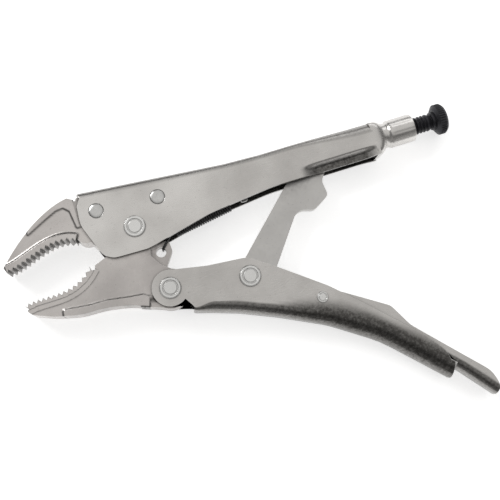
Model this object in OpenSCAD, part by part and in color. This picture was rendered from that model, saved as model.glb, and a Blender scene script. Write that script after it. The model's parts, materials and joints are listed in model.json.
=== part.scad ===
// Locking pliers, 250 mm class, with curved jaws and a side release lever.
// The tool lies flat on its side: +Z runs along the pivots, +X along the adjusting
// screw towards its knob, +Y towards the back of the upper handle.
// The origin is the jaw pivot's axis on the face that the tool lies on. Millimetres.

/* [Overall] */
// Width across the side plates of both handles
handle_w = 17; // [15:0.5:20]
// Sheet thickness of both handles
sheet_t = 2; // [1.6:0.1:2.4]
// Distance from the jaw pivot to the rear end of the upper handle
upper_len = 161.8; // [155:0.5:195]
// Height of the pivot rivet heads above the side plates
head_h = 1; // [0.6:0.1:1.5]

/* [Pivots] */
// Handle pivot, along X from the jaw pivot
handle_pivot_x = 7.9; // [6:0.1:10]
// Handle pivot, along Y from the jaw pivot
handle_pivot_y = -36.5; // [-39:0.1:-34]
// Distance from the handle pivot to the link pivot
link_arm = 41.94; // [40:0.02:44]
// Direction from the handle pivot to the link pivot, degrees from +X
link_arm_dir = -9.2; // [-12:0.1:-7]
// Lever pivot, along X from the link pivot
lever_pivot_dx = 32.6; // [28:0.1:36]
// Lever pivot, along Y from the link pivot
lever_pivot_dy = -22.1; // [-23:0.1:-20]

/* [Rivets] */
// Shank radius of the three pivot rivets
pivot_r = 4; // [3:0.1:4.8]
// Head radius of the three pivot rivets
pivot_head_r = 5.7; // [5.2:0.1:6.8]
// Radius of the flat disc in the middle of each pivot rivet head
pivot_disc_r = 3.3; // [2.4:0.1:3.6]
// Radius of the two flush rivets that hold the upper jaw
jaw_rivet_r = 4.1; // [3:0.1:4.6]
// Shank radius of the release lever's rivet
lever_rivet_r = 2; // [1.5:0.1:2.6]
// Head radius of the release lever's rivet
lever_head_r = 3; // [2.8:0.1:4]
// Radial clearance of every rivet in a part that turns on it
running_gap = 0.05; // [0.02:0.01:0.1]
// Side clearance between a turning part and the plates beside it
side_gap = 0.2; // [0.15:0.05:0.4]

/* [Jaws] */
// Width of the toothed faces
jaw_w = 14.5; // [13.6:0.1:16]
// Number of teeth on each jaw
teeth = 14; // [10:1:18]
// Depth of the teeth
tooth_h = 1.7; // [1:0.1:2]
// Radius of the lower jaw's hub round the jaw pivot
hub_r = 12; // [11:0.1:12.5]
// Radius of the lower jaw's hub round the handle pivot
knuckle_r = 10.5; // [10:0.1:11]
// Radius of the lower handle's front end
handle_nose_r = 9.6; // [9:0.1:10]
// Thickness of the spring ear on the lower jaw
ear_t = 6; // [4:0.5:8]
// Radius of the hole in the spring ear
ear_hole_r = 2.7; // [2.2:0.1:3]

/* [Toggle link] */
// Thickness of the toggle link
link_t = 5; // [4:0.25:7]
// Radius of the end that bears on the adjusting screw
link_end_r = 6; // [5:0.1:6.4]
// Radius of the spacers on either side of the link
spacer_r = 6.4; // [5.5:0.1:7]

/* [Release lever] */
// Sheet thickness of the release lever
lever_t = 1.6; // [1.2:0.1:2]

/* [Adjusting screw] */
// Height of the screw's axis above the jaw pivot
screw_y = 9.5; // [8.8:0.1:10]
// Crest radius of the screw thread
screw_r = 4.75; // [4:0.05:5.2]
// Pitch of the screw thread
screw_pitch = 2; // [1.5:0.25:2]
// Length of the thread that stands out of the handle
screw_out = 11.3; // [6:0.1:14]
// Radius of the knurled knob
knob_r = 8.5; // [7.5:0.1:9.4]
// Length of the knurled knob
knob_l = 6; // [5:0.1:9]
// Number of knurl grooves
knurls = 40; // [24:1:60]
// Wall of the threaded bush
bush_wall = 0.95; // [0.8:0.05:1.2]

/* [Return spring] */
// Outer radius of the spring's coils
spring_r = 3.4; // [2.6:0.1:3.6]
// Wire diameter of the spring
spring_wire = 1; // [0.7:0.1:1.2]

/* [Hidden] */
$fn = 64;

steel = "#c4c1bc";
steel_dark = "#9c9a96";
black_oxide = "#26262a";

// Heights of the stack, from the face that the tool lies on
mid_z = head_h + handle_w / 2;
inner_w = handle_w - 2 * sheet_t;
turn_w = inner_w - 2 * side_gap;
arc_step = 12;
past = 40;

// Pivots
jaw_pivot = [0, 0];
handle_pivot = [handle_pivot_x, handle_pivot_y];
link_pivot = handle_pivot + link_arm * [cos(link_arm_dir), sin(link_arm_dir)];
lever_pivot = link_pivot + [lever_pivot_dx, lever_pivot_dy];
ear_hole = [9.1, -16.3];

// Upper handle
front_x = -24.9;
back_front_y = 26.2;
back_bend_x = 55;
back_rear_x = 75;
link_end_gap = 0.6;
back_rear_y = screw_y + link_end_r + link_end_gap + sheet_t;
back_slope = (back_front_y - back_rear_y - 0.8) / (back_bend_x - front_x);
tube_l = 14.8;
neck_l = 6;
bush_r = screw_r + running_gap + bush_wall;
tube_r = bush_r + sheet_t;
neck_r = tube_r - 0.8;
tube_x = upper_len - tube_l;
channel_end = tube_x - neck_l / 2;
front_rivet = [-16.7, 13.9];
rear_rivet = [15.9, 11.6];

// Adjusting screw and the link end that it stops
link_end = [upper_len - 45.8, screw_y];
open_pivot_gap = 2.4;
screw_tip = link_end[0] + link_end_r + open_pivot_gap;
collar_l = 2;
spigot_r = 3;
spigot_l = 4;
thread_depth = 1;
thread_end = upper_len + screw_out;

// Return spring
anchor = [60, -0.6];
anchor_w = 4.4;
anchor_t = 1.6;
anchor_foot_w = 10;
anchor_eye_r = 1.3;
hook_gap = 0.15;
coil_start = [20, -7.4];
coil_end = [52, -2.4];

// ---- Outline helpers ----

function unit(v) = v / norm(v);
function from(p, dx, dy, r = 0) = [p[0] + dx, p[1] + dy, r];
function flat_pt(p) = [p[0], p[1]];

// Points of one corner p between its neighbours a and b, rounded to the radius p[2]
function corner(p, a, b) =
    let (
        pa = flat_pt(a) - flat_pt(p),
        pb = flat_pt(b) - flat_pt(p),
        u = unit(pa),
        v = unit(pb),
        half = acos(max(-1, min(1, u * v))) / 2
    )
    p[2] == 0 || half > 89.9 ? [flat_pt(p)] :
    let (
        cut = min(p[2] / tan(half), 0.49 * norm(pa), 0.49 * norm(pb)),
        r = cut * tan(half),
        c = flat_pt(p) + unit(u + v) * (r / sin(half)),
        s = flat_pt(p) + u * cut - c,
        e = flat_pt(p) + v * cut - c,
        a0 = atan2(s[1], s[0]),
        sweep = atan2(s[0] * e[1] - s[1] * e[0], s * e),
        n = max(2, ceil(abs(sweep) / arc_step))
    )
    [for (i = [0:n]) c + r * [cos(a0 + sweep * i / n), sin(a0 + sweep * i / n)]];

// A closed outline of points [x, y, radius]
function rounded(pts) =
    let (n = len(pts))
    [for (i = [0:n - 1]) each corner(pts[i], pts[(i + n - 1) % n], pts[(i + 1) % n])];

function arc(c, r, a0, a1, n) =
    [for (i = [0:n]) c + r * [cos(a0 + (a1 - a0) * i / n), sin(a0 + (a1 - a0) * i / n)]];

function bezier(p, t) =
    pow(1 - t, 3) * p[0] + 3 * pow(1 - t, 2) * t * p[1]
    + 3 * (1 - t) * pow(t, 2) * p[2] + pow(t, 3) * p[3];

function side_dir(p, t) =
    let (d = unit(bezier(p, t + 0.01) - bezier(p, t - 0.01)))
    [-d[1], d[0]];

// A curve beside the Bezier p, as far to its left as shift, in n steps
function beside(p, shift, n) =
    [for (i = [0:n]) bezier(p, i / n) + shift * side_dir(p, i / n)];

// A row of teeth along the Bezier p, with the valleys on the left by depth
function tooth_row(p, count, depth) =
    [for (i = [0:2 * count])
        bezier(p, i / (2 * count)) + (i % 2) * depth * side_dir(p, i / (2 * count))];

function reversed(list) = [for (i = [len(list) - 1:-1:0]) list[i]];

module slab(width, pts) {
    translate([0, 0, mid_z - width / 2])
        linear_extrude(width)
            polygon(pts);
}

// A band of a forging that stands out of its sides, kept inside the forging's outline
module raised(width, band, outline) {
    intersection() {
        slab(width, band);
        slab(2 * width, outline);
    }
}

module disc(at, r, width) {
    translate([at[0], at[1], mid_z - width / 2])
        cylinder(r = r, h = width);
}

module along_x(x0, x1, r) {
    translate([x0, screw_y, mid_z])
        rotate([0, 90, 0])
            cylinder(r = r, h = x1 - x0);
}

module turned_along_x(x0, pts) {
    translate([x0, screw_y, mid_z])
        rotate([0, 90, 0])
            rotate_extrude()
                polygon(pts);
}

// ---- Upper handle ----

function back_y(x) = back_front_y - back_slope * (x - front_x);

// The inside of the back between its two bends
function inside_back_y(x) =
    let (bend_y = back_y(back_bend_x))
    bend_y + (back_rear_y - bend_y) * (x - back_bend_x) / (back_rear_x - back_bend_x) - sheet_t;

upper_outline = rounded([
    [front_x, back_front_y, 2],
    [-26.6, 9, 14],
    [-18.8, -12.7, 9],
    [3.5, -13.3, 14],
    [40, -5, 60],
    [76, -1.2, 60],
    [channel_end - 4.5, -1.1, 4],
    [channel_end + 2, 4, 2],
    [channel_end + 2, screw_y + neck_r, 2],
    [channel_end - 6, back_rear_y, 10],
    [back_rear_x, back_rear_y, 60],
    [back_bend_x, back_y(back_bend_x), 60]
]);

upper_pocket = [
    [front_x - past, back_y(front_x - past) - sheet_t],
    [front_x - past, -past],
    [channel_end - 2, -past],
    [channel_end - 2, back_rear_y - sheet_t],
    [back_rear_x, back_rear_y - sheet_t],
    [back_bend_x, back_y(back_bend_x) - sheet_t]
];

module upper_handle() {
    color(steel)
        difference() {
            union() {
                slab(handle_w, upper_outline);
                along_x(channel_end, tube_x, neck_r);
                along_x(tube_x, upper_len, tube_r);
            }
            slab(inner_w, upper_pocket);
            along_x(channel_end - 8, upper_len + past, bush_r);
            disc(jaw_pivot, pivot_r, 2 * handle_w);
            disc(front_rivet, jaw_rivet_r, 2 * handle_w);
            disc(rear_rivet, jaw_rivet_r, 2 * handle_w);
        }
}

module screw_bush() {
    color(steel_dark)
        difference() {
            along_x(tube_x, upper_len - 0.5, bush_r);
            along_x(tube_x - past, upper_len + past, screw_r + running_gap);
        }
}

// ---- Rivets ----

// Half section of a rivet with a head on both ends and a groove round its middle disc
module headed_rivet(at, shank_r, head_r, disc_r, proud) {
    groove = proud * 0.45;
    bevel = proud * 0.5;
    length = handle_w + 2 * proud;
    translate([at[0], at[1], mid_z - length / 2])
        difference() {
            rotate_extrude()
                polygon([
                    [0, 0],
                    [head_r - bevel, 0],
                    [head_r, bevel],
                    [head_r, proud],
                    [shank_r, proud],
                    [shank_r, length - proud],
                    [head_r, length - proud],
                    [head_r, length - bevel],
                    [head_r - bevel, length],
                    [0, length]
                ]);
            for (z = [-groove, length - groove])
                translate([0, 0, z])
                    difference() {
                        cylinder(r = disc_r * 1.25, h = 2 * groove);
                        cylinder(r = disc_r, h = 6 * groove, center = true);
                    }
        }
}

module jaw_pivot_rivet() {
    color(steel) headed_rivet(jaw_pivot, pivot_r, pivot_head_r, pivot_disc_r, head_h);
}

module handle_pivot_rivet() {
    color(steel) headed_rivet(handle_pivot, pivot_r, pivot_head_r, pivot_disc_r, head_h);
}

module link_pivot_rivet() {
    color(steel) headed_rivet(link_pivot, pivot_r, pivot_head_r, pivot_disc_r, head_h);
}

module release_lever_rivet() {
    color(steel)
        headed_rivet(lever_pivot, lever_rivet_r, lever_head_r, lever_head_r * 0.6, head_h / 2);
}

module front_jaw_rivet() {
    color(steel_dark) disc(front_rivet, jaw_rivet_r, handle_w);
}

module rear_jaw_rivet() {
    color(steel_dark) disc(rear_rivet, jaw_rivet_r, handle_w);
}

// ---- Jaws ----

rail_w = jaw_w;
rim_w = inner_w + (jaw_w - inner_w) * 0.6;
upper_jaw_w = inner_w - 0.1;
hub_gap = 0.4;
upper_tips = [[-69, -3.8], [-57, -2.8], [-44, 8], [-31.5, 1.8]];
upper_rail_h = 3.9;
lower_tips = [[-65.5, -22.4], [-54, -19.2], [-40.5, -26.2], [-28.5, -12.8]];
lower_rail_h = 3.2;
lower_flare_h = 5.6;

// The upper jaw's curved back, from its root at the handle to its tip
upper_jaw_back = [[-29.6, 25.3], [-41.5, 23.6], [-57.4, 13.8], [-70.2, -0.6]];

upper_jaw_outline = concat(
    tooth_row(upper_tips, teeth, tooth_h),
    [[-30.6, 3.6], [-29.6, 1.6], [-28.2, 0], [-26.2, -0.9], [-23.9, -0.9]],
    [[-21.6, -4.4], [-16.6, -4.4]],
    arc(jaw_pivot, hub_r + hub_gap, 186, 24, 18),
    rounded([
        [hub_r + 3.5, 5.2, 0],
        [rear_rivet[0] + 7.2, 5.6, 4],
        [rear_rivet[0] + 7.2, back_y(rear_rivet[0] + 7.2) - sheet_t - 0.1, 1],
        [front_x, back_y(front_x) - sheet_t - 0.1, 0],
        [-26.2, 21.8, 1.5],
        [-27.8, 24, 1]
    ]),
    beside(upper_jaw_back, 0, 12)
);

upper_rail = concat(
    tooth_row(upper_tips, teeth, tooth_h),
    reversed(beside(upper_tips, upper_rail_h, 14))
);

upper_rim = concat(
    [[-27.2, 24], [-27.2, 9], [-28.4, 9], [-29.6, 18.5]],
    [[-32.6, 21.4], [-37, 20.9], [-45, 17.2], [-53.6, 12.9]],
    reversed([for (i = [0:7]) bezier(upper_jaw_back, i / 12)])
);

module upper_jaw() {
    color(steel)
        difference() {
            union() {
                slab(upper_jaw_w, upper_jaw_outline);
                raised(rail_w, upper_rail, upper_jaw_outline);
                raised(rim_w, upper_rim, upper_jaw_outline);
            }
            disc(front_rivet, jaw_rivet_r, 2 * handle_w);
            disc(rear_rivet, jaw_rivet_r, 2 * handle_w);
        }
}

lower_jaw_outline = concat(
    tooth_row(lower_tips, teeth, -tooth_h),
    [[-27.9, -15.4], [-26.2, -15.4], [-25.5, -13.1], [-20.1, -11.1], [-13.6, -8.4]],
    [[-hub_r * 0.62, -hub_r * 0.6], [0, 0], [hub_r * 0.5, -hub_r * 0.6]],
    [[4.2, -13.5], [3.4, -17], [6.7, -22.6]],
    [handle_pivot + knuckle_r * [0.5, 0.8], handle_pivot, handle_pivot - knuckle_r * [0.35, 0.9]],
    rounded([
        [-3.7, -42.6, 8],
        [-15.2, -38.2, 40],
        [-27, -36.1, 40],
        [-40.1, -35.6, 30],
        [-52.7, -32.4, 30],
        [-62.8, -28.2, 3],
        [-65.6, -24.4, 1]
    ])
);

lower_rail = concat(
    tooth_row(lower_tips, teeth, -tooth_h),
    reversed(beside(lower_tips, -lower_rail_h, 14))
);

lower_flare = concat(
    beside(lower_tips, -lower_rail_h + 0.5, 14),
    reversed(beside(lower_tips, -lower_flare_h, 14))
);

lower_rim = [
    [-47, -31], [-33.4, -32.7], [-24.6, -32.9], [-13.4, -34.8], [-6.6, -35.6],
    [-3.8, -37.4], [-5.2, -41.8], [-15.2, -38.1], [-27, -36], [-40.1, -35.4], [-47.6, -33.7]
];

ear_outline = rounded([
    [0, -11, 0],
    [14.8, -11.5, 2],
    [15, -17.4, 3],
    [9.4, -25, 1],
    [4, -22, 0],
    [2, -16, 0]
]);

module lower_jaw() {
    color(steel)
        difference() {
            union() {
                slab(turn_w, lower_jaw_outline);
                disc(jaw_pivot, hub_r, turn_w);
                disc(handle_pivot, knuckle_r, turn_w);
                raised(rail_w, lower_rail, lower_jaw_outline);
                raised(rim_w, lower_flare, lower_jaw_outline);
                raised(rim_w, lower_rim, lower_jaw_outline);
                slab(ear_t, ear_outline);
            }
            disc(jaw_pivot, pivot_r + running_gap, 2 * handle_w);
            disc(handle_pivot, pivot_r + running_gap, 2 * handle_w);
            disc(ear_hole, ear_hole_r, 2 * handle_w);
        }
}

// ---- Lower handle ----

lower_back = [
    from(link_pivot, -33.2, -8.2),
    from(link_pivot, -10.4, -16.2),
    from(link_pivot, 8.5, -24.6),
    from(lever_pivot, -0.6, -14.6),
    from(lever_pivot, 23, -31.4),
    from(lever_pivot, 52.4, -61.8)
];

lower_outline = rounded(concat(
    [
        from(handle_pivot, 0, handle_nose_r, 0),
        from(link_pivot, -19.6, 12, 20),
        from(link_pivot, 1.4, 10, 9),
        from(link_pivot, 15.2, 0.2, 40),
        from(lever_pivot, 5, 4.7, 40),
        from(lever_pivot, 22.2, -12.2, 60),
        from(lever_pivot, 45.7, -36.5, 40),
        from(lever_pivot, 53.6, -47.5, 12),
        from(lever_pivot, 53.4, -58.4, 6)
    ],
    [for (i = [len(lower_back) - 1:-1:1]) [lower_back[i][0], lower_back[i][1], i == 5 ? 2 : 60]],
    [
        from(lower_back[0], 0, 0, 3),
        from(handle_pivot, handle_nose_r * 0.6, -handle_nose_r * 0.8, 0),
        from(handle_pivot, -handle_nose_r * 0.5, -handle_nose_r * 0.5, 0)
    ]
));

// The inside of the channel: above a line one sheet thickness inside the back
function inside(i) =
    let (
        a = lower_back[max(0, i - 1)],
        b = lower_back[min(len(lower_back) - 1, i + 1)],
        d = unit([b[0] - a[0], b[1] - a[1]])
    )
    flat_pt(lower_back[i]) + sheet_t * [-d[1], d[0]];

lower_pocket = concat(
    [[lower_back[0][0] - 0.4, handle_pivot[1] - past], [lower_back[0][0] - past, handle_pivot[1] - past]],
    [[lower_back[0][0] - past, past], [lever_pivot[0] + 2 * past, past]],
    [inside(5) + [12, -11.2]],
    [for (i = [5:-1:0]) inside(i)],
    [inside(0) - [2, -0.6]]
);

module lower_handle() {
    color(steel)
        difference() {
            union() {
                slab(handle_w, lower_outline);
                disc(handle_pivot, handle_nose_r, handle_w);
            }
            slab(inner_w, lower_pocket);
            disc(handle_pivot, pivot_r, 2 * handle_w);
            disc(link_pivot, pivot_r, 2 * handle_w);
            disc(lever_pivot, lever_rivet_r, 2 * handle_w);
        }
}

// ---- Toggle link ----

link_outline = rounded([
    from(link_pivot, -5.2, 4.8, 0),
    from(link_end, -22.4, -1.6, 3),
    from(link_end, -13.4, 3, 8),
    from(link_end, -3.4, link_end_r - 0.9, 0),
    from(link_end, 0, 0, 0),
    from(link_end, 3, -link_end_r + 0.9, 0),
    from(link_end, -9, -9.4, 8),
    from(link_end, -12.6, -14.6, 4),
    from(link_end, -11.8, -22.8, 3),
    from(link_end, -21.6, -28.4, 4),
    from(link_end, -30.6, -25.4, 8),
    from(link_pivot, 13.8, -1.4, 8),
    from(link_pivot, 5.4, -5, 0),
    from(link_pivot, 0, 0, 0)
]);

module toggle_link() {
    color(steel)
        difference() {
            union() {
                slab(link_t, link_outline);
                disc(link_pivot, 7.7, link_t);
                disc(link_end, link_end_r, link_t);
            }
            disc(link_pivot, pivot_r + running_gap, 2 * handle_w);
        }
}

module link_spacers() {
    spacer_l = (inner_w - link_t) / 2 - side_gap;
    color(steel_dark)
        for (side = [-1, 1])
            translate([link_pivot[0], link_pivot[1],
                       mid_z + side * (inner_w / 2 - spacer_l / 2) - spacer_l / 2])
                difference() {
                    cylinder(r = spacer_r, h = spacer_l);
                    translate([0, 0, -1]) cylinder(r = pivot_r, h = spacer_l + 2);
                }
}

// ---- Release lever ----

// Points from the nose at the rivet back to the tail; the back of the channel is below
lever_outline = rounded([
    from(lever_pivot, -5, 3, 3),
    from(lever_pivot, 8, 1.6, 6),
    from(lever_pivot, 19, -5.6, 20),
    from(lever_pivot, 33.4, -15.2, 7),
    from(lever_pivot, 40, -28, 14),
    from(lever_pivot, 58.8, -48.6, 60),
    from(lever_pivot, 73, -64, 14),
    from(lever_pivot, 75.2, -74.6, 6),
    from(lever_pivot, 72.4, -77.4, 2),
    from(lever_pivot, 57.4, -58.6, 60),
    from(lever_pivot, 30, -30.4, 60),
    from(lever_pivot, 8, -11.4, 20),
    from(lever_pivot, -4.6, -5.4, 4)
]);

lever_pocket = [
    from(lever_pivot, -12, 20),
    from(lever_pivot, -12, -3.6),
    from(lever_pivot, -4.2, -3.9),
    from(lever_pivot, 8, -9.3),
    from(lever_pivot, 30, -28.3),
    from(lever_pivot, 57.4, -56.4),
    from(lever_pivot, 70, -72.2),
    from(lever_pivot, 73.4, -72.4),
    from(lever_pivot, 90, -60),
    from(lever_pivot, 60, 20)
];

module release_lever() {
    color(steel)
        difference() {
            slab(turn_w, lever_outline);
            slab(turn_w - 2 * lever_t, [for (p = lever_pocket) flat_pt(p)]);
            disc(lever_pivot, lever_rivet_r + running_gap, 2 * handle_w);
        }
}

// ---- Adjusting screw ----

crest = screw_pitch * 0.15;

function thread_profile(x0, x1) =
    [for (i = [0:floor((x1 - x0) / screw_pitch) - 1])
        each [
            [screw_r - thread_depth, x0 + i * screw_pitch],
            [screw_r - thread_depth, x0 + i * screw_pitch + crest],
            [screw_r, x0 + (i + 0.5) * screw_pitch],
            [screw_r, x0 + (i + 0.5) * screw_pitch + crest]
        ]];

module adjusting_screw() {
    length = thread_end - screw_tip;
    color(black_oxide)
        turned_along_x(screw_tip, concat(
            [[0, 0], [2.6, 0], [3.4, 0.8], [3.4, 5]],
            thread_profile(5, length),
            [
                [screw_r - thread_depth, length],
                [screw_r + 0.25, length + 0.4],
                [screw_r + 0.25, length + collar_l],
                [spigot_r, length + collar_l],
                [spigot_r, length + collar_l + spigot_l],
                [0, length + collar_l + spigot_l]
            ]
        ));
}

module adjusting_knob() {
    x0 = thread_end + collar_l + running_gap;
    groove_r = knob_r * 0.955;
    color(black_oxide)
        difference() {
            intersection() {
                turned_along_x(x0, [
                    [0, 0], [knob_r - 2.2, 0], [knob_r, 1.6], [knob_r, knob_l - 1.4],
                    [knob_r - 1.2, knob_l], [0, knob_l + 0.4]
                ]);
                translate([x0 - 1, screw_y, mid_z])
                    rotate([0, 90, 0])
                        linear_extrude(knob_l + 3)
                            polygon([for (i = [0:2 * knurls - 1])
                                (i % 2 == 0 ? knob_r + 0.05 : groove_r)
                                * [cos(180 * i / knurls), sin(180 * i / knurls)]]);
            }
            along_x(x0 - 1, x0 + spigot_l + running_gap, spigot_r + running_gap);
        }
}

// ---- Return spring and its anchor ----

module spring_anchor() {
    left = anchor[0] - anchor_w;
    right = anchor[0] + anchor_w;
    color(steel_dark)
        difference() {
            union() {
                slab(anchor_t, rounded([
                    [anchor[0] - anchor_w / 2, anchor[1] - 2.4, 1.6],
                    [anchor[0] + anchor_w / 2, anchor[1] - 2.4, 1.6],
                    [anchor[0] + anchor_w / 2, inside_back_y(right) - anchor_t / 2, 0],
                    [anchor[0] - anchor_w / 2, inside_back_y(right) - anchor_t / 2, 0]
                ]));
                slab(anchor_foot_w, [
                    [left, inside_back_y(left) - anchor_t],
                    [right, inside_back_y(right) - anchor_t],
                    [right, inside_back_y(right)],
                    [left, inside_back_y(left)]
                ]);
            }
            disc(anchor, anchor_eye_r, 2 * handle_w);
        }
}

module rod_between(a, b, r) {
    d = b - a;
    translate([a[0], a[1], mid_z])
        rotate([0, 0, atan2(d[1], d[0])])
            rotate([0, 90, 0])
                cylinder(r = r, h = norm(d), $fn = 24);
}

// A hook that runs beside a plate and then turns down through the hole in it
module spring_hook(coil_at, hole, plate_t) {
    wire_r = spring_wire / 2;
    beside_z = plate_t / 2 + wire_r + hook_gap;
    translate([0, 0, beside_z])
        rod_between(coil_at, hole, wire_r);
    translate([hole[0], hole[1], mid_z + beside_z])
        sphere(r = wire_r);
    translate([hole[0], hole[1], mid_z - beside_z])
        cylinder(r = wire_r, h = 2 * beside_z);
}

module return_spring() {
    d = unit(coil_end - coil_start);
    ear_pull = ear_hole_r - spring_wire / 2 - hook_gap;
    anchor_pull = anchor_eye_r - spring_wire / 2 - hook_gap;
    color(black_oxide)
        union() {
            difference() {
                rod_between(coil_start, coil_end, spring_r);
                rod_between(coil_start + d * spring_wire, coil_end - d * spring_wire,
                            spring_r - spring_wire);
            }
            spring_hook(coil_start + 3 * d, ear_hole + ear_pull * unit(coil_start - ear_hole), ear_t);
            spring_hook(coil_end - spring_wire / 2 * d, anchor - anchor_pull * d, anchor_t);
        }
}

upper_handle();
screw_bush();
upper_jaw();
front_jaw_rivet();
rear_jaw_rivet();
jaw_pivot_rivet();
spring_anchor();
return_spring();
lower_jaw();
lower_handle();
handle_pivot_rivet();
link_pivot_rivet();
release_lever_rivet();
toggle_link();
link_spacers();
release_lever();
adjusting_screw();
adjusting_knob();
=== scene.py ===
import json
import math

import bmesh
import bpy
from mathutils import Matrix, Vector


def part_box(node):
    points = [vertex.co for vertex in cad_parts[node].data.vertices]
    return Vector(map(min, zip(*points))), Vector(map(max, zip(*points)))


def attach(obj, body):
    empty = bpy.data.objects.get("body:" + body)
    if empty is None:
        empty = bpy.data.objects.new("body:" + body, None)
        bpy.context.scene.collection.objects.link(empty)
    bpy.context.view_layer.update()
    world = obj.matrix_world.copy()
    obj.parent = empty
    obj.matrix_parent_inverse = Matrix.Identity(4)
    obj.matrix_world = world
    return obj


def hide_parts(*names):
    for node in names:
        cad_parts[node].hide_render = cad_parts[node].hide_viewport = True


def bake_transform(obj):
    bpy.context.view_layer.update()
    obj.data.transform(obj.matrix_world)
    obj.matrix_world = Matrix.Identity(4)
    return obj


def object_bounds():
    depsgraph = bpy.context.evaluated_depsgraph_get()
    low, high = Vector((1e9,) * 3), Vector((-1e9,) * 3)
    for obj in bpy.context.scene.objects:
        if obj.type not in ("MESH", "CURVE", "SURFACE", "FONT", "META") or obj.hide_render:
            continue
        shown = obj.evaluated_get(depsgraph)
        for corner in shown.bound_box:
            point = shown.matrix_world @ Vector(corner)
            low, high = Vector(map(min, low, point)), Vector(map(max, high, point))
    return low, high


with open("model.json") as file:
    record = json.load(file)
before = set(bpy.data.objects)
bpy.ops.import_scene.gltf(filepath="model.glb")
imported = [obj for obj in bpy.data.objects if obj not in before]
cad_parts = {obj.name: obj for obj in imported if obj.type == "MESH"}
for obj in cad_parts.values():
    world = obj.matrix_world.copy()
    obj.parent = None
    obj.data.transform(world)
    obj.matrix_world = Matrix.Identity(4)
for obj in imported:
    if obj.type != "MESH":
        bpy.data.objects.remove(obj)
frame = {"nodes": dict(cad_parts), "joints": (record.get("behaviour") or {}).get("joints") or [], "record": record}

cad_lo, cad_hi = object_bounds()
SHEET = 0.002
LEVER_SHEET = 0.0016
joints = {j["name"]: j for j in frame["joints"]}
node_slot = {s["node"]: s["material_slot"] for s in frame["record"]["subparts"]}
node_body = {n: b for b, ns in frame["record"]["behaviour"]["bodies"].items() for n in ns}


# ---- Materials ----

class Nodes:
    """A material's node tree, with short calls to add and join nodes."""

    def __init__(self, name):
        self.mat = bpy.data.materials.new(name)
        self.mat.use_nodes = True
        self.tree = self.mat.node_tree
        self.tree.nodes.clear()
        self.out = self.tree.nodes.new("ShaderNodeOutputMaterial")
        self.bsdf = self.tree.nodes.new("ShaderNodeBsdfPrincipled")
        self.tree.links.new(self.bsdf.outputs[0], self.out.inputs["Surface"])
        self.co = self.tree.nodes.new("ShaderNodeTexCoord").outputs["Object"]

    def put(self, socket, value):
        if isinstance(value, bpy.types.NodeSocket):
            self.tree.links.new(value, socket)
        else:
            socket.default_value = value

    def noise(self, scale, detail=4.0, rough=0.55, stretch=(1, 1, 1), turn=(0, 0, 0)):
        m = self.tree.nodes.new("ShaderNodeMapping")
        m.inputs["Scale"].default_value = stretch
        m.inputs["Rotation"].default_value = turn
        self.tree.links.new(self.co, m.inputs["Vector"])
        n = self.tree.nodes.new("ShaderNodeTexNoise")
        n.inputs["Scale"].default_value = scale
        n.inputs["Detail"].default_value = detail
        n.inputs["Roughness"].default_value = rough
        self.tree.links.new(m.outputs[0], n.inputs["Vector"])
        return n.outputs["Fac"]

    def remap(self, fac, a, b, c, d):
        n = self.tree.nodes.new("ShaderNodeMapRange")
        self.put(n.inputs["Value"], fac)
        for k, v in zip(("From Min", "From Max", "To Min", "To Max"), (a, b, c, d)):
            n.inputs[k].default_value = v
        return n.outputs["Result"]

    def math(self, op, a, b):
        n = self.tree.nodes.new("ShaderNodeMath")
        n.operation = op
        self.put(n.inputs[0], a)
        self.put(n.inputs[1], b)
        return n.outputs[0]

    def mix(self, fac, a, b):
        n = self.tree.nodes.new("ShaderNodeMix")
        n.data_type = "RGBA"
        self.put(n.inputs["Factor"], fac)
        self.put(n.inputs[6], a)
        self.put(n.inputs[7], b)
        return n.outputs[2]

    def bump(self, height, strength, distance):
        n = self.tree.nodes.new("ShaderNodeBump")
        n.inputs["Strength"].default_value = strength
        n.inputs["Distance"].default_value = distance
        self.put(n.inputs["Height"], height)
        self.put(self.bsdf.inputs["Normal"], n.outputs[0])

    def attribute(self, name):
        n = self.tree.nodes.new("ShaderNodeAttribute")
        n.attribute_name = name
        return n.outputs["Fac"]

    # Painted shade: an ambient occlusion mask, high in crevices and recesses.
    def occlusion_shade(self, distance):
        n = self.tree.nodes.new("ShaderNodeAmbientOcclusion")
        n.samples = 6
        n.inputs["Distance"].default_value = distance
        return self.remap(n.outputs["AO"], 0.25, 0.85, 1.0, 0.0)

    def edge(self, radius):
        """How far a point's rounded normal leans from its own: high on edges, for wear."""
        b = self.tree.nodes.new("ShaderNodeBevel")
        b.samples = 4
        b.inputs["Radius"].default_value = radius
        g = self.tree.nodes.new("ShaderNodeNewGeometry")
        d = self.tree.nodes.new("ShaderNodeVectorMath")
        d.operation = "DOT_PRODUCT"
        self.tree.links.new(b.outputs[0], d.inputs[0])
        self.tree.links.new(g.outputs["Normal"], d.inputs[1])
        return self.remap(d.outputs["Value"], 0.97, 0.75, 0.0, 1.0)


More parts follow.
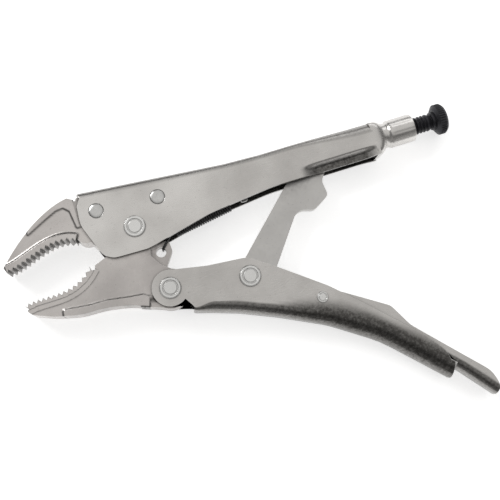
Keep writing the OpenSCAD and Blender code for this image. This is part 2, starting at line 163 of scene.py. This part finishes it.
def plated(name, dark, light, rough, grain, stretch=(1, 1, 1), mottling=0.5, crevice_shade=0.75):
    """Nickel plate over steel: fine grain, soft clouding, painted shade in crevices, bright worn edges,
    and painted shade and reflection on bends, recesses and inner faces, by a mesh attribute per point."""
    n = Nodes(name)
    cloud = n.remap(n.noise(38, 5), 0.35, 0.68, 0.0, 1.0)
    fine = n.noise(grain, 3, 0.6, stretch)
    cloud = n.math("MULTIPLY", n.math("ADD", cloud, n.remap(n.noise(14, 2), 0.35, 0.65, 0.0, 1.0)), 0.6)
    tone = n.mix(n.math("MULTIPLY", cloud, mottling), light, dark)
    speck = n.remap(n.noise(900, 2), 0.66, 0.74, 0.0, 0.35)
    tone = n.mix(speck, tone, tuple(0.55 * c for c in dark[:3]) + (1,))
    painted_shade = n.attribute("painted_shade")
    streak = n.remap(n.noise(700, 5, 0.72), 0.34, 0.66, 0.80, 1.15)
    # Painted shade and painted reflection: the mesh attribute darkens bends, recesses and inner faces.
    tone = n.mix(n.math("MULTIPLY", painted_shade, streak), tone, (0.075, 0.072, 0.068, 1))
    # Painted shade: crevices darkened by ambient occlusion.
    tone = n.mix(n.math("MULTIPLY", n.occlusion_shade(0.0022), crevice_shade), tone, (0.06, 0.057, 0.053, 1))
    worn = n.edge(0.0004)
    tone = n.mix(n.math("MULTIPLY", worn, 0.6), tone, (0.9, 0.89, 0.87, 1))
    n.put(n.bsdf.inputs["Base Color"], tone)
    n.put(n.bsdf.inputs["Metallic"], 1.0)
    r = n.math("ADD", n.remap(fine, 0.3, 0.7, rough - 0.07, rough + 0.08),
               n.remap(cloud, 0.0, 1.0, -0.02, 0.04))
    n.put(n.bsdf.inputs["Roughness"], r)
    n.bump(n.math("ADD", fine, n.math("MULTIPLY", n.noise(210, 3), 0.7)), 0.10, 0.00005)
    return n.mat


def blackened(name, base, rough):
    """Black oxide or oiled black wire: rough, faintly brown, with steel showing on worn crests."""
    n = Nodes(name)
    cloud = n.noise(260, 4)
    tone = n.mix(n.remap(cloud, 0.3, 0.7, 0, 1), base, tuple(2.1 * c for c in base[:3]) + (1,))
    worn = n.math("MULTIPLY", n.edge(0.0003), n.remap(n.noise(420, 3), 0.42, 0.62, 0, 0.55))
    tone = n.mix(worn, tone, (0.23, 0.23, 0.235, 1))
    n.put(n.bsdf.inputs["Base Color"], tone)
    n.put(n.bsdf.inputs["Metallic"], 0.55)
    n.put(n.bsdf.inputs["Roughness"], n.remap(cloud, 0.3, 0.7, rough - 0.06, rough + 0.1))
    n.bump(n.noise(1500, 3), 0.25, 0.00008)
    return n.mat


MATS = {
    "plated_sheet": plated("plated_sheet", (0.42, 0.405, 0.39, 1), (0.74, 0.725, 0.705, 1), 0.27, 420,
                           (1, 7, 1), mottling=0.6),
    "forged_jaw": plated("forged_jaw", (0.35, 0.33, 0.32, 1), (0.66, 0.63, 0.61, 1), 0.30, 600,
                         mottling=0.6, crevice_shade=1.0),
    "blanked_link": plated("blanked_link", (0.46, 0.45, 0.44, 1), (0.71, 0.70, 0.68, 1), 0.33, 520,
                           mottling=0.6),
    "rivet_steel": plated("rivet_steel", (0.52, 0.52, 0.51, 1), (0.80, 0.80, 0.79, 1), 0.24, 700,
                          mottling=0.35, crevice_shade=1.0),
    "plated_turned": plated("plated_turned", (0.42, 0.42, 0.41, 1), (0.6, 0.6, 0.59, 1), 0.34, 520,
                            (6, 1, 1)),
    "black_oxide": blackened("black_oxide", (0.018, 0.018, 0.021, 1), 0.42),
    "black_spring": blackened("black_spring", (0.045, 0.045, 0.047, 1), 0.26),
}


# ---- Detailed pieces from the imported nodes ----

def finish_piece(obj, node):
    """Gives a piece its node's material and body."""
    obj.data.materials.clear()
    obj.data.materials.append(MATS[node_slot[node]])
    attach(obj, node_body[node])
    return obj


def clean_copy(node):
    """The node's mesh with its flat faces whole again, ready for bevels."""
    bm = bmesh.new()
    bm.from_mesh(frame["nodes"][node].data)
    bmesh.ops.remove_doubles(bm, verts=bm.verts, dist=1e-6)
    bmesh.ops.dissolve_limit(bm, angle_limit=math.radians(0.4), verts=bm.verts, edges=bm.edges)
    return bm


def link(name, mesh):
    obj = bpy.data.objects.new(name, mesh)
    bpy.context.scene.collection.objects.link(obj)
    return obj


def to_object(name, bm):
    """A new object from a bmesh, which is freed."""
    mesh = bpy.data.meshes.new(name)
    bm.to_mesh(mesh)
    bm.free()
    return link(name, mesh)


def shade(obj, sharp):
    """Smooth shading, split where faces meet at more than so many degrees."""
    obj.data.shade_smooth()
    obj.data.set_sharp_from_angle(angle=math.radians(sharp))


def break_edges(obj, width, angle):
    """Rounds every edge sharper than so many degrees."""
    m = obj.modifiers.new("edges", "BEVEL")
    m.width = width
    m.segments = 2
    m.limit_method = "ANGLE"
    m.angle_limit = math.radians(angle)
    m.harden_normals = True
    m.use_clamp_overlap = True


def stand_in(obj, node):
    """The piece replaces its CAD node and takes that node's material."""
    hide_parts(node)
    return finish_piece(obj, node)


def detailed(node, edge):
    """Stands for a node: its own shape, with broken edges all over."""
    obj = to_object(node + "_detail", clean_copy(node))
    shade(obj, 28)
    break_edges(obj, edge, 40)
    return stand_in(obj, node)


def outlines(node, face_z):
    """Closed loops of the node's flat face at the height face_z, the largest first."""
    bm = bmesh.new()
    bm.from_mesh(frame["nodes"][node].data)
    bmesh.ops.remove_doubles(bm, verts=bm.verts, dist=1e-6)
    nxt = {}
    for e in bm.edges:
        if any(abs(v.co.z - face_z) > 2e-6 for v in e.verts):
            continue
        flat = [f for f in e.link_faces if abs(f.normal.z) > 0.99]
        if len(flat) != 1 or len(e.link_faces) != 2:
            continue
        for loop in e.link_loops:
            if loop.face == flat[0]:
                nxt[loop.vert.index] = (loop.link_loop_next.vert.index, loop.vert.co.xy.copy())
    bm.free()
    loops = []
    while nxt:
        k = next(iter(nxt))
        pts = []
        while k in nxt:
            k, co = nxt.pop(k)
            pts.append(co)
        loops.append(pts)
    area = lambda q: sum(q[i - 1].x * q[i].y - q[i].x * q[i - 1].y for i in range(len(q))) / 2
    loops.sort(key=lambda q: -abs(area(q)))
    return [q if area(q) > 0 else q[::-1] for q in loops]


def dense(pts, step):
    """The loop with no stretch longer than step, and near-repeated points dropped."""
    out = []
    for i, p in enumerate(pts):
        q = pts[(i + 1) % len(pts)]
        n = max(1, math.ceil((q - p).length / step))
        out += [p.lerp(q, k / n) for k in range(n)]
    return [p for i, p in enumerate(out) if (p - out[i - 1]).length > 5e-5]


def smooth_step(x, a, b):
    t = max(0.0, min(1.0, (x - a) / (b - a)))
    return t * t * (3 - 2 * t)


def resample(pts, n):
    """n points evenly along an open line."""
    run = [0.0]
    for p, q in zip(pts, pts[1:]):
        run.append(run[-1] + (q - p).length)
    out, k = [], 0
    for i in range(n):
        s = run[-1] * i / (n - 1)
        while k < len(run) - 2 and run[k + 1] < s:
            k += 1
        out.append(pts[k].lerp(pts[k + 1], (s - run[k]) / max(1e-12, run[k + 1] - run[k])))
    return out


def nearest(pts, target):
    return min(range(len(pts)), key=lambda i: (pts[i] - Vector(target)).length)


def sheet_channel(node, sheet, back_ends, rim_ends, bend_r, painted_shade_at, n=150, rows=14, press=None):
    """A bent sheet channel: stations run along the back, each a U of real thickness with rolled bends.
    back_ends and rim_ends are near the ends of the back and of the open rim, in the outline's own order."""
    lo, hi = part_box(node)
    zc, hw = (lo.z + hi.z) / 2, (hi.z - lo.z) / 2
    loop = dense(outlines(node, hi.z)[0], 0.0008)
    span = lambda i, j: [loop[k % len(loop)] for k in range(i, j + 1 if j >= i else j + len(loop) + 1)]
    back = resample(span(nearest(loop, back_ends[0]), nearest(loop, back_ends[1])), n)
    rim = resample(span(nearest(loop, rim_ends[1]), nearest(loop, rim_ends[0]))[::-1], n)
    sections = []
    for i, (b, r) in enumerate(zip(back, rim)):
        d = (back[min(n - 1, i + 1)] - back[max(0, i - 1)]).normalized()
        inward = Vector((-d.y, d.x))
        rad = min(bend_r(b), hw - 0.0002, (r - b).length - 0.0006)
        root = b + inward * rad
        outer, inner, marks = [], [], []
        for k in range(rows):
            p = r.lerp(root, k / rows)
            outer.append((p, hw))
            inner.append((p, hw - sheet))
            # Painted shade on the outer face, by where each point lies on the side and the bend.
            marks.append(painted_shade_at(b, -(root - p).length / 0.0012))
        for k in range(11):
            a = math.pi / 2 * k / 10
            outer.append((b + inward * rad * (1 - math.sin(a)), hw - rad * (1 - math.cos(a))))
            marks.append(painted_shade_at(b, k / 10))
            small = max(0.0, rad - sheet)
            inner.append((root - inward * small * math.sin(a), hw - rad + small * math.cos(a)
                          if rad > sheet else hw - sheet))
        sections.append((outer, inner, marks))
    bm = bmesh.new()

    mark = bm.verts.layers.float.new("painted_shade")

    def row(half, marks):
        pts = [(q, h, m) for (q, h), m in zip(half, marks)]
        pts += [(q, -h, m) for q, h, m in reversed(pts)]
        out = []
        for q, h, m in pts:
            squeeze = press(q) if press else 1
            v = bm.verts.new((q.x, q.y, zc + h * squeeze))
            # Painted shade where the walls are squeezed in.
            v[mark] = max(m, min(0.92, 3.0 * (1 - squeeze)))
            out.append(v)
        return out

    # The inner faces take a dark painted shade.
    grid = [(row(o, m), row(i, [0.85] * len(m))) for o, i, m in sections]
    count = len(grid[0][0])
    for (o0, i0), (o1, i1) in zip(grid, grid[1:]):
        for k in range(count - 1):
            bm.faces.new((o0[k], o1[k], o1[k + 1], o0[k + 1]))
            bm.faces.new((i0[k], i0[k + 1], i1[k + 1], i1[k]))
        for k in (0, count - 1):
            bm.faces.new((o0[k], i0[k], i1[k], o1[k]))
    for o, i in (grid[0], grid[-1]):
        for k in range(count - 1):
            bm.faces.new((o[k], o[k + 1], i[k + 1], i[k]))
    bmesh.ops.recalc_face_normals(bm, faces=bm.faces)
    return to_object(node + "_detail", bm)


def keep(body, node, edge=0.00025):
    shade(body, 35)
    break_edges(body, edge, 55)
    return stand_in(body, node)


def lofted_tube(name, rings, bore, x_in, x_out, zc, yc, flute_from, count=144):
    """A closed shell round a bore, from rings of (x, half height, half width, centre y, squareness)."""
    bm = bmesh.new()
    rows = []
    for x, hy, hz, y, sq in rings:
        ring = []
        for i in range(count):
            a = 2 * math.pi * i / count
            c, s = math.cos(a), math.sin(a)
            k = (abs(c) ** sq + abs(s) ** sq) ** (-1 / sq)
            if x > flute_from:
                k -= 0.012 * smooth_step(abs(s), 0.55, 0.85) * max(0.0, math.sin(11 * a)) ** 2
            ring.append(bm.verts.new((x, y + hy * k * c, zc + hz * k * s)))
        rows.append(ring)
    for x in (x_out, x_in):
        rows.append([bm.verts.new((x, yc + bore * math.cos(2 * math.pi * i / count),
                                   zc + bore * math.sin(2 * math.pi * i / count))) for i in range(count)])
    rows.append(rows[0])
    for a, b in zip(rows, rows[1:]):
        for i in range(count):
            j = (i + 1) % count
            bm.faces.new((a[i], a[j], b[j], b[i]))
    bmesh.ops.recalc_face_normals(bm, faces=bm.faces)
    return to_object(name, bm)


def upper_handle():
    lo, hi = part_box("upper_handle")
    bush_lo, bush_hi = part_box("screw_bush")
    zc = (lo.z + hi.z) / 2
    yc = (bush_lo.y + bush_hi.y) / 2
    neck_x = bush_lo.x
    bore = (bush_hi.y - bush_lo.y) / 2

    def press(q):
        """The side walls are squeezed together along the rear of the open edge."""
        along = smooth_step(q.x, 0.092, 0.104) * (1 - smooth_step(q.x, 0.128, 0.140))
        return 1 - 0.36 * along * (1 - smooth_step(q.y, 0.0018, 0.0046))

    rear_x = neck_x - 0.0085
    # The last function paints shade along the bend.
    body = sheet_channel("upper_handle", SHEET, ((rear_x, yc + 0.0085), (lo.x + 0.0014, hi.y)),
                         ((rear_x, yc - 0.0105), (lo.x + 0.0007, hi.y - 0.007)),
                         lambda b: 0.0030 + 0.0034 * smooth_step(b.x, 0.09, 0.136),
                         lambda b, t: 0.52 * smooth_step(t, -0.2, 0.3), rows=40, press=press)
    keep(body, "upper_handle")
    hw = (hi.z - lo.z) / 2
    tube = bore + SHEET
    shoulder = [(-0.0100, 0.0094, hw - 0.00006, 0.00835, 7.0),
                (-0.0084, 0.00935, hw - 0.00008, 0.0084, 6.4),
                (-0.0068, 0.0091, hw - 0.0002, 0.0086, 5.2), (-0.0054, 0.0087, hw - 0.0005, 0.0088, 4.2),
                (-0.0042, 0.0081, hw - 0.0010, 0.0091, 3.3), (-0.0032, 0.0075, hw - 0.0015, 0.0093, 2.6),
                (-0.0023, 0.0071, 0.0070, yc, 2.2), (-0.0014, 0.0069, 0.0069, yc, 2.0),
                (-0.0006, 0.0069, 0.0069, yc, 2.0), (0.0001, 0.0072, 0.0072, yc, 2.0),
                (0.0006, tube - 0.0002, tube - 0.0002, yc, 2.0), (0.0010, tube, tube, yc, 2.0)]
    rings = [(neck_x + x, hy, hz, y, sq) for x, hy, hz, y, sq in shoulder]
    length = hi.x - rings[-1][0] - 0.0005
    rings += [(rings[len(shoulder) - 1][0] + length * k / 8, tube, tube, yc, 2.0) for k in range(1, 9)]
    rings.append((hi.x - 0.00015, tube - 0.00008, tube - 0.00008, yc, 2.0))
    rings.append((hi.x, tube - 0.0003, tube - 0.0003, yc, 2.0))
    neck = lofted_tube("upper_handle_neck", rings, bore, neck_x - 0.0100, hi.x, zc, yc, neck_x + 0.0014)
    shade(neck, 34)
    finish_piece(neck, "upper_handle")


def lower_handle():
    lo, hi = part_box("lower_handle")
    knuckle = Vector(joints["handle_close"]["pos_m"][:2])

    def bend(b):
        """The bend opens out from a tight start to a rounded grip."""
        start = 0.0036 * smooth_step(b.x, 0.016, 0.027)
        return 0.0014 + start + 0.0032 * smooth_step(b.x, 0.05, 0.11)

    def painted_shade_at(b, t):
        """Painted shade along the bend, and over the whole side toward the rear."""
        depth = 0.74 + 0.24 * smooth_step(b.x, 0.03, 0.085)
        side = smooth_step(t, -0.6 - 14 * smooth_step(b.x, 0.045, 0.095), 0.05)
        return depth * side * (1 - 0.22 * smooth_step(t, 0.42, 0.8))

    body = sheet_channel("lower_handle", SHEET,
                         (knuckle + Vector((0.0084, -0.0147)), (hi.x - 0.0014, lo.y - 0.0006)),
                         (knuckle + Vector((0.0058, -0.0077)), (hi.x, lo.y + 0.0094)), bend, painted_shade_at)
    keep(body, "lower_handle")


def release_lever():
    at = Vector(joints["lever_press"]["pos_m"][:2])

    # Painted shade on the bend and the side next to it.
    def painted_shade_at(b, t):
        return 0.85 * smooth_step(t, -1.6, 0.1) * (1 - 0.3 * smooth_step(t, 0.3, 0.8))

    body = sheet_channel("release_lever", LEVER_SHEET,
                         (at + Vector((-0.0030, -0.0062)), at + Vector((0.0715, -0.0763))),
                         (at + Vector((-0.0049, 0.0005)), at + Vector((0.0746, -0.0700))),
                         lambda b: 0.0044, painted_shade_at)
    keep(body, "release_lever", 0.0002)


upper_handle()
lower_handle()
release_lever()
def flat_levels(node):
    """Heights of the node's upward flat faces, highest first, leaving out slivers."""
    areas = {}
    for f in frame["nodes"][node].data.polygons:
        if f.normal.z > 0.99:
            z = round(f.center.z, 5)
            areas[z] = areas.get(z, 0) + f.area
    return sorted((z for z in areas if areas[z] > 3e-5), reverse=True)


def outside(loop, q, reach):
    """How far q lies outside a loop, up to reach: zero inside it."""
    within, best = False, reach
    for i, b in enumerate(loop):
        a = loop[i - 1]
        if (a.y > q.y) != (b.y > q.y) and q.x < a.x + (q.y - a.y) * (b.x - a.x) / (b.y - a.y):
            within = not within
        if min(a.x, b.x) - best < q.x < max(a.x, b.x) + best:
            d = b - a
            t = max(0.0, min(1.0, (q - a).dot(d) / max(1e-15, d.length_squared)))
            best = min(best, (a + d * t - q).length)
    return 0.0 if within else best


def forged(node, slope=0.0012, grid=0.0006):
    """A forging: each raised step of the CAD jaw runs down to the panel beside it as a soft slope."""
    lo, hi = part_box(node)
    zc = (lo.z + hi.z) / 2
    rail, rim, panel = flat_levels(node)[:3]
    steps = [(loop, z - panel) for z in (rail, rim) for loop in outlines(node, z)[:1]]
    reach = [max(p.x for p in loop) for loop, _ in steps]
    bm = clean_copy(node)
    for axis, a, b in ((0, lo.x, max(reach) + slope), (1, lo.y, hi.y)):
        for k in range(1, int((b - a) / grid)):
            co = [0, 0, 0]
            co[axis] = a + k * grid
            no = [0, 0, 0]
            no[axis] = 1
            bmesh.ops.bisect_plane(bm, geom=bm.verts[:] + bm.edges[:] + bm.faces[:], dist=1e-7,
                                   plane_co=co, plane_no=no)
    mark = bm.verts.layers.float.new("painted_shade")
    bm.normal_update()
    # Painted shade on the walls along the toothed rail.
    walls = {v for f in bm.faces if abs(f.normal.z) < 0.5 for v in f.verts}
    for v in walls:
        if outside(steps[0][0], v.co.xy, 0.0003) < 0.0003:
            v[mark] = 0.62
    side = {v for f in bm.faces if abs(f.normal.z) > 0.9 for v in f.verts}
    for v in side:
        if abs(abs(v.co.z - zc) - (panel - zc)) > 1e-5:
            continue
        away = [outside(loop, v.co.xy, slope) for loop, _ in steps]
        rise = max(h * (1 - smooth_step(d, 0, slope)) for d, (_, h) in zip(away, steps))
        v.co.z += math.copysign(rise, v.co.z - zc)
        # Painted shade on each slope, darkest half way down.
        v[mark] = max(v[mark], 0.95 * max(0.0, 1 - abs(min(away) / slope - 0.5) / 0.5))
    bmesh.ops.remove_doubles(bm, verts=bm.verts, dist=3e-6)
    bmesh.ops.dissolve_degenerate(bm, edges=bm.edges, dist=1e-6)
    obj = to_object(node + "_detail", bm)
    shade(obj, 42)
    break_edges(obj, 0.0003, 60)
    return stand_in(obj, node)


forged("upper_jaw")
forged("lower_jaw")
detailed("toggle_link", 0.0003)
for rivet in ("jaw_pivot_rivet", "handle_pivot_rivet", "link_pivot_rivet", "release_lever_rivet"):
    detailed(rivet, 0.00012)
def flush_rivet(node):
    """A rivet spun flush: a shallow dome inside a fine ring where it fills its hole.
    Painted shade: light over the dome, dark on the ring.
    """
    lo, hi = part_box(node)
    c, r, half = (lo + hi) / 2, (hi.x - lo.x) / 2, (hi.z - lo.z) / 2
    side = [(0, 0.00016), (r * 0.5, 0.00015), (r * 0.86, 0.00012), (r * 0.89, 0.00003), (r * 0.96, 0.00002),
            (r * 0.985, 0.00009), (r, -0.00012)]
    profile = [(q, half + h) for q, h in side] + [(q, -half - h) for q, h in reversed(side)]
    bm = bmesh.new()
    count = 64
    rows = []
    for q, z in profile:
        if q == 0:
            rows.append([bm.verts.new((c.x, c.y, c.z + z))] * count)
        else:
            ring = [2 * math.pi * i / count for i in range(count)]
            rows.append([bm.verts.new((c.x + q * math.cos(a), c.y + q * math.sin(a), c.z + z)) for a in ring])
    for a, b in zip(rows, rows[1:]):
        for i in range(count):
            j = (i + 1) % count
            bm.faces.new(list(dict.fromkeys((a[i], a[j], b[j], b[i]))))
    mark = bm.verts.layers.float.new("painted_shade")
    for v in bm.verts:
        out = (v.co.xy - c.xy).length / r
        v[mark] = 0.26 if out < 0.87 else 0.9
    bmesh.ops.recalc_face_normals(bm, faces=bm.faces)
    obj = to_object(node + "_detail", bm)
    shade(obj, 40)
    return stand_in(obj, node)


for rivet in ("front_jaw_rivet", "rear_jaw_rivet"):
    flush_rivet(rivet)
detailed("screw_bush", 0.0001)
detailed("spring_anchor", 0.00015)
detailed("link_spacers", 0.00015)
detailed("adjusting_screw", 0.0001)
detailed("adjusting_knob", 0.00012)


# ---- Return spring: closed coils of round wire with a hook at each end ----

def spring():
    lo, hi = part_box("return_spring")
    zc = joints["jaw_close"]["pos_m"][2]
    front = Vector((lo.x + 0.0004, lo.y + 0.0006, zc))
    rear = Vector((hi.x - 0.0005, hi.y - 0.0017, zc))
    start = front + Vector((0.0094, 0.0075, 0))
    end = rear - Vector((0.0074, 0.0017, 0))
    wire, coil_r = 0.0006, 0.0028
    axis = (end - start).normalized()
    up = Vector((0, 0, 1))
    side = axis.cross(up)
    turns = int((end - start).length / (2 * wire * 1.08))
    pts = []
    pts += [front + Vector((0, 0, -0.0034)), front + Vector((0, 0, 0.0)), front + Vector((0, 0, 0.0034)),
            front + Vector((0.0008, 0.0007, 0.0038)), start - axis * 0.002 + up * 0.0033]
    steps = 16
    for i in range(turns * steps + 1):
        a = 2 * math.pi * i / steps
        pts.append(start.lerp(end, i / (turns * steps)) + coil_r * (up * math.cos(a) + side * math.sin(a)))
    pts += [end + axis * 0.002 + up * 0.0018, rear + Vector((0, 0, 0.0015)), rear + Vector((0, 0, -0.0015))]
    curve = bpy.data.curves.new("return_spring_wire", "CURVE")
    curve.dimensions = "3D"
    curve.bevel_depth = wire
    curve.bevel_resolution = 3
    curve.use_fill_caps = True
    s = curve.splines.new("POLY")
    s.points.add(len(pts) - 1)
    for p, co in zip(s.points, pts):
        p.co = (*co, 1)
    obj = bpy.data.objects.new("return_spring_wire", curve)
    bpy.context.scene.collection.objects.link(obj)
    dg = bpy.context.evaluated_depsgraph_get()
    mesh = bpy.data.meshes.new_from_object(obj.evaluated_get(dg))
    mesh.name = "return_spring_coils"
    bpy.data.objects.remove(obj)
    piece = bpy.data.objects.new("return_spring_coils", mesh)
    bpy.context.scene.collection.objects.link(piece)
    mesh.shade_smooth()
    mesh.materials.clear()
    mesh.materials.append(MATS["black_spring"])
    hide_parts("return_spring")
    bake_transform(piece)


spring()


# ---- Floor, light, camera ----

def floor():
    bpy.ops.mesh.primitive_plane_add(size=6, location=(0, 0, cad_lo.z - 0.00005))
    obj = bpy.context.object
    obj.name = "floor"
    n = Nodes("floor_white")
    n.put(n.bsdf.inputs["Base Color"], (0.9, 0.9, 0.9, 1))
    n.put(n.bsdf.inputs["Roughness"], 0.95)
    n.put(n.bsdf.inputs["Specular IOR Level"], 0.1)
    n.put(n.bsdf.inputs["Emission Color"], (1, 1, 1, 1))
    n.put(n.bsdf.inputs["Emission Strength"], 0.62)
    obj.data.materials.append(n.mat)


def softbox(name, at, size, energy, target=(0.06, -0.03, 0.01)):
    light = bpy.data.lights.new(name, "AREA")
    light.shape = "RECTANGLE"
    light.size, light.size_y = size
    light.energy = energy
    obj = bpy.data.objects.new(name, light)
    obj.location = at
    obj.rotation_mode = "QUATERNION"
    obj.rotation_quaternion = (Vector(target) - Vector(at)).to_track_quat("-Z", "Y")
    bpy.context.scene.collection.objects.link(obj)


def dome():
    """A soft tent over the table: bright overhead, greyer low down, so plated bends read darker."""
    world = bpy.data.worlds.new("studio")
    bpy.context.scene.world = world
    world.use_nodes = True
    t = world.node_tree
    back = t.nodes["Background"]
    co = t.nodes.new("ShaderNodeTexCoord")
    dot = t.nodes.new("ShaderNodeVectorMath")
    dot.operation = "DOT_PRODUCT"
    dot.inputs[1].default_value = (0.10, 0.22, 0.97)
    t.links.new(co.outputs["Generated"], dot.inputs[0])
    ramp = t.nodes.new("ShaderNodeValToRGB")
    t.links.new(dot.outputs["Value"], ramp.inputs[0])
    cr = ramp.color_ramp
    cr.elements[0].position = 0.30
    cr.elements[0].color = (0.32, 0.315, 0.31, 1)
    cr.elements[1].position = 1.0
    cr.elements[1].color = (0.80, 0.79, 0.775, 1)
    for at, v in ((0.55, 0.10), (0.74, 0.33), (0.88, 0.66)):
        e = cr.elements.new(at)
        e.color = (v, v * 0.99, v * 0.975, 1)
    t.links.new(ramp.outputs[0], back.inputs["Color"])
    back.inputs["Strength"].default_value = 1.0


floor()
dome()
softbox("key", (-0.35, 0.55, 0.55), (0.35, 0.25), 2.4)
softbox("rim", (0.45, 0.5, 0.35), (0.6, 0.3), 0.7)

cam_data = bpy.data.cameras.new("camera")
cam_data.sensor_width = 36
cam_data.lens = 60.84
cam_data.clip_start, cam_data.clip_end = 0.01, 10
cam = bpy.data.objects.new("camera", cam_data)
# The camera's place and turn are the ones that line the CAD up with the photograph.
cam.matrix_world = Matrix(((0.94661, 0.29825, -0.1224, -0.000716), (-0.31423, 0.93843, -0.14353, -0.093679),
                           (0.07206, 0.17433, 0.98205, 0.452629), (0, 0, 0, 1)))
bpy.context.scene.collection.objects.link(cam)
bpy.context.scene.camera = cam
bpy.context.scene.view_settings.view_transform = "Standard"
